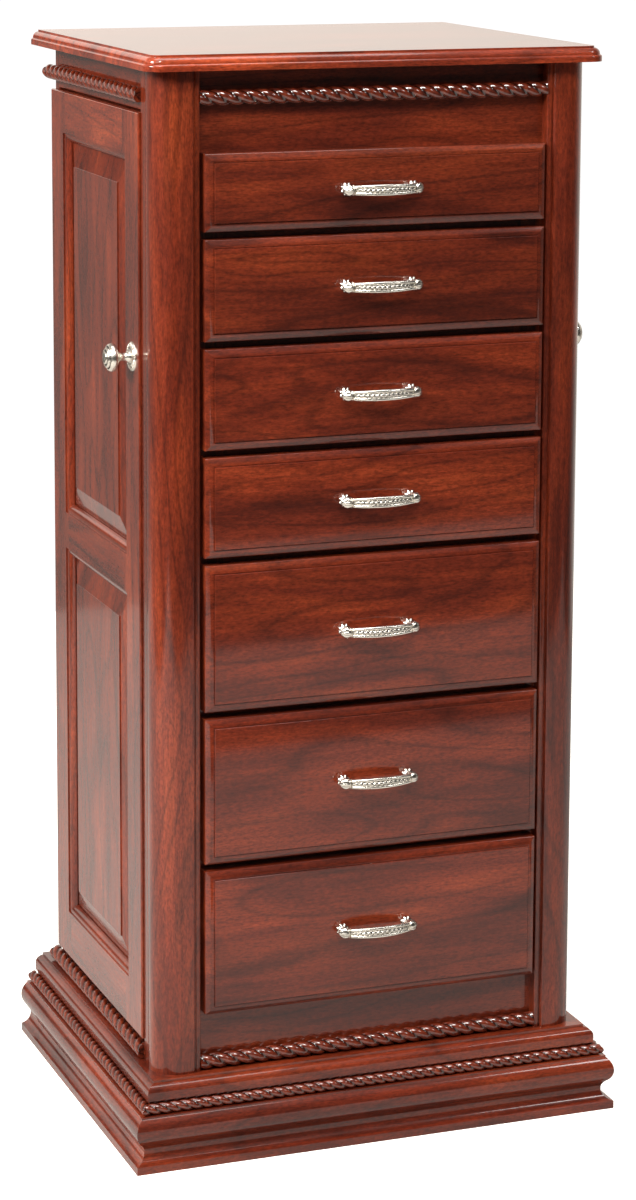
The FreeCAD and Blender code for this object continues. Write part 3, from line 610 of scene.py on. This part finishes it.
def plinth_ropes():
    """Small ropes in the plinth's rebate, mitred where they meet."""
    node = "plinth_ropes"
    low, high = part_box(node)
    radius = (high.z - low.z) / 2
    z = (low.z + high.z) / 2
    front_y = low.y + radius
    side_x = high.x - radius
    past = 3 * radius
    runs = [(Vector((-side_x - past, front_y, z)), Vector((side_x + past, front_y, z)), -Y)]
    runs.append((Vector((-side_x, high.y, z)), Vector((-side_x, front_y - past, z)), -X))
    runs.append((Vector((side_x, front_y - past, z)), Vector((side_x, high.y, z)), X))
    corners = {side: Vector((side * side_x, front_y, z)) for side in (-1, 1)}
    for number, (start, end, out) in enumerate(runs):
        shell = Shell()
        shell.rings(*rope_rings(start, end, out, radius, PLINTH_ROPE_PITCH, PLINTH_ROPE_AROUND))
        name = "plinth_rope_" + ("front", "left", "right")[number]
        rope = shell.object(name, ROPE_WOOD, "case", "cherry")
        bm = bmesh.new()
        bm.from_mesh(rope.data)
        if out == -Y:
            for side in (-1, 1):
                cut_at(bm, corners[side], Vector((side, 1, 0)).normalized())
        else:
            side = 1 if out == X else -1
            cut_at(bm, corners[side], -Vector((side, 1, 0)).normalized())
        bm.to_mesh(rope.data)
        bm.free()
        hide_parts(node)


ropes_on_case("frieze_ropes")
ropes_on_case("base_ropes")
plinth_ropes()


# ---------------------------------------------------------------- pulls
FOOT_X = 0.0381            # half the distance between a pull's feet
GRIP_HALF = 0.0063         # half the grip's height at its middle
GRIP_WAIST = 0.0012        # how much lower half the grip is over the feet
GRIP_SPAN = FOOT_X - 0.0035
RAIL_FLAT, RAIL_TALL = 0.0023, 0.0020      # a rail's half thicknesses
INLAY_RADIUS, INLAY_PITCH = 0.0027, 0.0054
LEAF_START = FOOT_X - 0.0012
LEAF_FLAT, LEAF_TALL = 0.0040, 0.0060
COLLARS = [(GRIP_SPAN, GRIP_HALF - 0.0004, 0.0036, 0.0009),
           (GRIP_SPAN + 0.0020, GRIP_HALF + 0.0001, 0.0042, 0.0010)]    # place, tall, flat, half width
COLLAR_SECTION = [(-1.0, 0.55), (-0.7, 0.86), (0.0, 1.0), (0.7, 0.86), (1.0, 0.55)]


class Bow:
    """A cast bow pull, whose parts all follow one curve that stands off the drawer front."""

    def __init__(self, node):
        low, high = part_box(node)
        self.middle = (low + high) / 2
        self.front = high.y
        self.end = (high.x - low.x) / 2
        stand = self.front - low.y
        self.reach, self.end_reach = stand - 0.0026, stand * 0.44
        self.shell = Shell()

    def stands_off(self, x):
        """The distance from the drawer front to the curve."""
        return self.reach - (self.reach - self.end_reach) * (x / self.end) ** 2

    def loop(self, x, centre, radii, around, share=lambda turn: 1.0):
        """A ring across the bow at x; centre and radii each give a measure outwards and one upwards."""
        line = self.front - self.stands_off(x)
        ring = []
        for n in range(around):
            turn = 2 * math.pi * n / around
            out = centre[0] + radii[0] * share(turn) * math.cos(turn)
            rise = centre[1] + radii[1] * share(turn) * math.sin(turn)
            ring.append(Vector((self.middle.x + x, line - out, self.middle.z + rise)))
        return ring

    def grip(self):
        """Two rails with a darker plate behind them."""
        around, steps = 14, 36
        places = [-GRIP_SPAN + 2 * GRIP_SPAN * k / steps for k in range(steps + 1)]
        stations = [(x, GRIP_HALF - GRIP_WAIST * (x / FOOT_X) ** 2) for x in places]
        for sign in (-1, 1):
            self.shell.rings([self.loop(x, (0.0004, sign * (half - RAIL_TALL)), (RAIL_FLAT, RAIL_TALL),
                                        around) for x, half in stations])
        plate = [self.loop(x, (-0.0012, 0.0), (0.0014, half - 0.0010), around) for x, half in stations]
        self.shell.rings(plate, [[0.25] * around] * len(plate))

    def inlay(self):
        """The small rope between the rails."""
        low = strand_radius(math.pi / STRANDS)
        around, steps = 18, 150
        rings, marks = [], []
        for k in range(steps + 1):
            x = -GRIP_SPAN + 2 * GRIP_SPAN * k / steps
            twist = 2 * math.pi * x / (INLAY_PITCH * STRANDS)

            def share(turn, twist=twist):
                return strand_radius(turn + twist)
            size = INLAY_RADIUS * min(1.0, (GRIP_SPAN - abs(x)) / 0.012 * 0.4 + 0.6)
            rings.append(self.loop(x, (0.0003, 0.0), (size, -size), around, share))
            marks.append([(share(2 * math.pi * n / around) - low) / (1 - low) for n in range(around)])
        self.shell.rings(rings, marks)

    def collars(self, sign):
        """Two rings round the grip's end."""
        for place, tall, flat, wide in COLLARS:
            self.shell.rings([self.loop(sign * (place + along * wide), (-0.0004, 0.0),
                                        (flat * share, tall * share), 20)
                              for along, share in COLLAR_SECTION])

    def leaf(self, sign):
        """The fluted, pointed end beyond a foot."""
        around, steps = 28, 14
        rings, marks = [], []

        def wave(turn):
            return abs(math.cos(3.5 * turn)) ** 0.6
        for k in range(steps + 1):
            t = k / steps
            x = LEAF_START + t * (self.end - LEAF_START)
            swell = math.sin(math.pi * min(1.0, 0.20 + 0.80 * t)) ** 0.65 if t < 1 else 0.0
            size = max(0.04, swell)
            depth = 0.22 * math.sin(math.pi * min(1.0, t * 1.1))

            def share(turn, depth=depth):
                return 1 - depth * (1 - wave(turn))
            rings.append(self.loop(sign * x, (0.0, 0.0), (LEAF_FLAT * size, LEAF_TALL * size), around, share))
            marks.append([0.2 + 0.8 * wave(2 * math.pi * n / around) for n in range(around)])
        self.shell.rings(rings, marks)

    def foot(self, sign):
        """A flared, fluted foot on the drawer front."""
        base = Vector((self.middle.x + sign * FOOT_X, self.front, self.middle.z))
        top = self.stands_off(FOOT_X)
        profile = [(0.0, 0.0073, 0.9), (0.0006, 0.0075, 1.0), (0.0014, 0.0070, 1.0), (0.0022, 0.0058, 0.9),
                   (0.0030, 0.0046, 0.7), (top * 0.42, 0.0038, 0.5), (top * 0.55, 0.0040, 0.6),
                   (top * 0.66, 0.0052, 0.8), (top * 0.8, 0.0058, 0.8), (top, 0.0050, 0.5)]
        self.shell.rings(*turned(profile, base, -Y, X, Z, 48, flutes=8, depth=0.24))


def pull(i):
    """A bow pull: two rails with a rope between them, fluted ends, and flared feet."""
    node = "drawer_%d_pull" % i
    bow = Bow(node)
    bow.grip()
    bow.inlay()
    for sign in (-1, 1):
        bow.collars(sign)
        bow.leaf(sign)
        bow.foot(sign)
    handle = bow.shell.object("drawer_%d_bow_pull" % i, PEWTER, "drawer_%d" % i, "pewter")
    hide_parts(node)


for number in DRAWERS:
    pull(number)


# ---------------------------------------------------------------- knobs
# Outlines of a knob: mm out, the radius as a share of the plate's or the head's, and tarnish.
PLATE_SECTION = [(0.0, 1.0, 0), (1.0, 1.0, 0), (1.6, 0.97, 0), (1.8, 0.93, 0), (1.2, 0.90, 0), (1.2, 0.76, 0),
                 (2.4, 0.72, 0), (3.1, 0.64, 0), (3.4, 0.52, 0), (2.8, 0.46, 0), (3.4, 0.41, 0)]
HEAD_SECTION = [(0.0, 0.60, 0), (1.0, 0.82, 0), (2.2, 0.95, 0), (3.6, 1.0, 0), (5.6, 1.0, 0), (7.4, 0.975, 0),
                (8.7, 0.93, 0), (9.5, 0.885, 0), (9.8, 0.85, 0.2), (9.5, 0.82, 0.8), (8.8, 0.80, 1),
                (8.9, 0.745, 1), (10.9, 0.73, 0.3), (12.0, 0.69, 0), (12.6, 0.62, 0), (12.5, 0.57, 0.3),
                (12.0, 0.54, 0.9), (11.4, 0.52, 1), (11.5, 0.46, 1), (13.1, 0.44, 0.3), (13.8, 0.385, 0),
                (14.0, 0.30, 0), (13.6, 0.25, 0.7), (13.5, 0.20, 0.7), (13.9, 0.14, 0), (14.0, 0.06, 0)]
BEAD_SECTION = [(0.0006, 0.0012, 0), (0.0014, 0.00145, 0), (0.0022, 0.0012, 0), (0.0027, 0.0006, 0),
                (0.00285, 0.0001, 0)]      # metres out, radius, tarnish
BEADS = 26
BEAD_RING = 0.83           # the ring of beads' radius, as a share of the plate's
HEAD_SHARE = 0.965         # the head's radius, as a share of the plate's
STEM_SHARE = 0.375
HEAD_PLACE = 0.5625        # where the head's back lies, as a share of the knob's length
POINT = 0.0001             # a radius that closes an end


def knob(side):
    """A turned knob: beaded plate, waisted stem and a head of stepped rings."""
    node = side + "_door_knob"
    low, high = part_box(node)
    sign = SIDES[side]
    face = low.x if sign > 0 else high.x
    centre = Vector((face, (low.y + high.y) / 2, (low.z + high.z) / 2))
    out = X * sign
    plate_r = (high.z - low.z) / 2
    reach = high.x - low.x
    shell = Shell()
    plate = [(mm / 1000, plate_r * share, dark) for mm, share, dark in PLATE_SECTION] + [(0.0034, 0.0005, 0)]
    shell.rings(*turned(plate, centre, out, Y, Z, 64))
    for n in range(BEADS):
        turn = 2 * math.pi * n / BEADS
        place = centre + (Y * math.cos(turn) + Z * math.sin(turn)) * (plate_r * BEAD_RING)
        shell.rings(*turned(BEAD_SECTION, place, out, Y, Z, 10))
    stem_r = plate_r * STEM_SHARE
    head_r = plate_r * HEAD_SHARE
    back = reach * HEAD_PLACE
    neck = [(0.0030, 0.0005, 0), (0.0030, stem_r * 1.05, 0), (0.0046, stem_r * 1.08, 0),
            (0.0058, stem_r * 0.86, 0), (0.0085, stem_r * 0.70, 0), (back * 0.72, stem_r * 0.72, 0),
            (back * 0.86, stem_r * 0.95, 0)]
    head = [(back + mm / 1000, head_r * share, dark) for mm, share, dark in HEAD_SECTION]
    shell.rings(*turned(neck + head + [(reach, POINT, 0)], centre, out, Y, Z, 64))
    turned_knob = shell.object(side + "_turned_knob", PEWTER, side + "_door", "pewter")
    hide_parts(node)


for name in SIDES:
    knob(name)


# ---------------------------------------------------------------- felt
BOX_FLOOR = 0.0071         # from a drawer box's underside to just over its bottom board
LINING = 0.0022
ROLL_PITCH = 0.024
ROLL_END = 0.006           # the length over which a roll's end is rounded


def pad_mesh(low, high, crown, steps=22):
    """A soft slab that fills a box: rounded at its rim and a little higher in its middle."""
    vertices, faces = [], []
    slab = high.z - low.z - crown
    for top in (True, False):
        for j in range(steps + 1):
            for i in range(steps + 1):
                u = 0.5 - 0.5 * math.cos(math.pi * i / steps)
                v = 0.5 - 0.5 * math.cos(math.pi * j / steps)
                rim = min(1.0, 8 * min(u, 1 - u, v, 1 - v)) ** 0.5
                middle = (4 * u * (1 - u) * 4 * v * (1 - v)) ** 0.3
                thick = slab * (0.45 + 0.55 * rim) + crown * rim * middle
                z = low.z + thick if top else low.z
                vertices.append((low.x + (high.x - low.x) * u, low.y + (high.y - low.y) * v, z))
    row = steps + 1
    lower = row * row
    for j in range(steps):
        for i in range(steps):
            a = j * row + i
            faces.append((a, a + 1, a + row + 1, a + row))
            faces.append((lower + a, lower + a + row, lower + a + row + 1, lower + a + 1))
    rim = list(range(steps)) + [j * row + steps for j in range(steps)]
    rim += [steps * row + steps - i for i in range(steps)] + [(steps - j) * row for j in range(steps)]
    for a, b in zip(rim, rim[1:] + rim[:1]):
        faces.append((b, a, lower + a, lower + b))
    return vertices, faces


def drawer_linings():
    """A thin felt lining on the bottom of each drawer."""
    for i in DRAWERS:
        low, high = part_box("drawer_%d_box" % i)
        inset = Vector((BOX_WALL, BOX_WALL, 0))
        bottom = Vector((low.x, low.y, low.z + BOX_FLOOR)) + inset
        top = Vector((high.x, high.y, low.z + BOX_FLOOR + LINING)) - inset
        vertices, faces = pad_mesh(bottom, top, 0.0008)
        lining = piece("drawer_%d_lining" % i, vertices, faces, FELT, "drawer_%d" % i)


def tray_pad():
    """The felt on the tray under the lid."""
    low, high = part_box("tray_pad")
    vertices, faces = pad_mesh(low, high, 0.0003, steps=30)
    pad = piece("tray_felt", vertices, faces, FELT, "case")
    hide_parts("tray_pad")


def ring_rolls():
    """Stuffed half-round rolls that rings are pushed between."""
    low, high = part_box("ring_rolls")
    radius = high.z - low.z
    count = int(round((high.y - low.y - 2 * radius) / ROLL_PITCH)) + 1
    length = high.x - low.x
    shell = Shell()
    for n in range(count):
        y = low.y + radius + n * ROLL_PITCH
        rings = []
        for k in range(41):
            u = k / 40
            from_end = min(u, 1 - u) * length
            swell = math.sqrt(max(0.0, 1 - max(0.0, 1 - from_end / ROLL_END) ** 2))
            size = radius * (0.55 + 0.45 * swell) * (0.985 + 0.015 * math.sin(37 * u + 2.1 * n))
            ring = []
            for i in range(15):
                turn = math.pi * i / 14
                ring.append(Vector((low.x + length * u, y - size * math.cos(turn),
                                    low.z + size * math.sin(turn))))
            rings.append(ring)
        shell.rings(rings)
    rolls = shell.object("ring_roll_padding", FELT, "case", "felt")
    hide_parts("ring_rolls")


drawer_linings()
tray_pad()
ring_rolls()


# ---------------------------------------------------------------- stage, light and camera
FLOOR_REACH = 2.3          # half the side of the studio's paper floor, which the lower drawers reflect


def floor():
    """A pale floor, lit to white for the camera and darker in reflections."""
    m = Nodes("floor")
    paper = m.ramp(m.noise(m.mapped((1, 1, 1)), 3.0), [(0.3, (0.90, 0.88, 0.84)), (0.7, (0.93, 0.91, 0.87))])
    to_camera = m.add("ShaderNodeLightPath").outputs["Is Camera Ray"]
    m.join(m.times(paper, m.spread(to_camera, 0.0, 1.0, 0.52, 1.0)), m.shader, "Base Color")
    m.join(m.spread(to_camera, 0.0, 1.0, 0.0, 0.45), m.shader, "Emission Strength")
    m.set(Roughness=0.9, Specular_IOR_Level=0.1, Emission_Color=(1, 1, 1, 1))
    size = FLOOR_REACH
    mesh = bpy.data.meshes.new("floor")
    corners = [(-size, -size, 0), (size, -size, 0), (size, size, 0), (-size, size, 0)]
    mesh.from_pydata(corners, [], [(0, 1, 2, 3)])
    mesh.materials.append(m.material)
    plane = bpy.data.objects.new("floor", mesh)
    bpy.context.scene.collection.objects.link(plane)


def surroundings():
    """A studio that is white to the camera; its walls are pale behind and above, dark in front."""
    world = bpy.data.worlds.new("studio")
    bpy.context.scene.world = world
    world.use_nodes = True
    tree = world.node_tree
    tree.nodes.clear()

    def add(kind):
        return tree.nodes.new(kind)

    def link(output, target):
        tree.links.new(output, target)

    def ramp_of(value, low, high, to_low, to_high):
        node = add("ShaderNodeMapRange")
        node.interpolation_type = "SMOOTHSTEP"
        link(value, node.inputs["Value"])
        for name, number in (("From Min", low), ("From Max", high), ("To Min", to_low), ("To Max", to_high)):
            node.inputs[name].default_value = number
        return node.outputs["Result"]

    def math_of(operation, a, b):
        node = add("ShaderNodeMath")
        node.operation = operation
        link(a, node.inputs[0])
        link(b, node.inputs[1])
        return node.outputs["Value"]

    split = add("ShaderNodeSeparateXYZ")
    link(add("ShaderNodeTexCoord").outputs["Generated"], split.inputs["Vector"])
    x, y, z = split.outputs["X"], split.outputs["Y"], split.outputs["Z"]
    behind = ramp_of(y, -0.35, 0.55, 0.06, 1.0)
    high = ramp_of(z, 0.13, 0.24, 0.04, 1.1)
    low = ramp_of(z, -0.03, 0.06, 0.24, 0.04)
    right = ramp_of(x, -0.12, 0.25, 0.04, 1.0)
    dimmer = ramp_of(x, 0.15, 0.55, 1.12, 0.92)
    upper = ramp_of(z, 0.30, 0.55, 1.0, 0.35)
    above = ramp_of(z, 0.55, 0.95, 0.0, 0.35)
    walls = math_of("MAXIMUM", math_of("MAXIMUM", high, low), right)
    walls = math_of("MULTIPLY", math_of("MULTIPLY", behind, upper), walls)
    strength = math_of("MAXIMUM", math_of("MULTIPLY", walls, dimmer), above)
    room = add("ShaderNodeBackground")
    link(strength, room.inputs["Strength"])
    white = add("ShaderNodeBackground")
    room.inputs["Color"].default_value = (1.0, 0.92, 0.83, 1)
    white.inputs["Color"].default_value = (1, 1, 1, 1)
    white.inputs["Strength"].default_value = 1.05
    mix = add("ShaderNodeMixShader")
    link(add("ShaderNodeLightPath").outputs["Is Camera Ray"], mix.inputs[0])
    link(room.outputs["Background"], mix.inputs[1])
    link(white.outputs["Background"], mix.inputs[2])
    out = add("ShaderNodeOutputWorld")
    link(mix.outputs["Shader"], out.inputs["Surface"])


def softbox(name, place, target, width, height, watts, colour=(1, 1, 1)):
    """A rectangular lamp at a place, turned towards a target."""
    data = bpy.data.lights.new(name, "AREA")
    data.shape = "RECTANGLE"
    data.size, data.size_y = width, height
    data.energy = watts
    data.color = colour
    lamp = bpy.data.objects.new(name, data)
    bpy.context.scene.collection.objects.link(lamp)
    lamp.location = place
    lamp.rotation_mode = "QUATERNION"
    lamp.rotation_quaternion = (Vector(place) - Vector(target)).to_track_quat("Z", "Y")


CAMERA_PLACE = Vector((-1.31069, -3.52853, 1.46560))
CAMERA_AZIMUTH = math.radians(20.4897)
CAMERA_PITCH = math.radians(9.1383)
CAMERA_ROLL = math.radians(0.2580)
CAMERA_LENS = 100.10
CAMERA_SHIFT = -0.2083


def camera():
    """The photograph's viewpoint, recovered from the object's own corners."""
    data = bpy.data.cameras.new("camera")
    data.sensor_width = 36.0
    data.lens = CAMERA_LENS
    data.shift_y = CAMERA_SHIFT
    lens = bpy.data.objects.new("camera", data)
    bpy.context.scene.collection.objects.link(lens)
    sin, cos = math.sin, math.cos
    ahead = Vector((sin(CAMERA_AZIMUTH) * cos(CAMERA_PITCH), cos(CAMERA_AZIMUTH) * cos(CAMERA_PITCH),
                    -sin(CAMERA_PITCH)))
    level = Vector((cos(CAMERA_AZIMUTH), -sin(CAMERA_AZIMUTH), 0))
    rise = level.cross(ahead)
    right = level * cos(CAMERA_ROLL) + rise * sin(CAMERA_ROLL)
    up = rise * cos(CAMERA_ROLL) - level * sin(CAMERA_ROLL)
    turn = Matrix((right, up, -ahead)).transposed()
    lens.matrix_world = Matrix.Translation(CAMERA_PLACE) @ turn.to_4x4()
    bpy.context.scene.camera = lens


floor()
surroundings()
softbox("key", (-0.5, -3.0, 4.0), (0, 0, 0.6), 0.8, 0.8, 72, (1.0, 0.97, 0.93))
softbox("wide", (-1.4, -3.2, 3.6), (0, 0, 0.6), 2.8, 1.2, 62, (1.0, 0.97, 0.93))
softbox("left", (-3.4, -1.1, 2.9), (0, 0, 0.7), 1.3, 1.5, 300, (1.0, 0.96, 0.91))
softbox("fill", (2.3, -2.3, 3.6), (0, 0, 0.6), 0.8, 0.8, 26)
softbox("top", (0.0, -0.3, 4.0), (0, 0, 0.6), 2.4, 2.0, 70)
camera()
bpy.context.scene.view_settings.view_transform = "Standard"
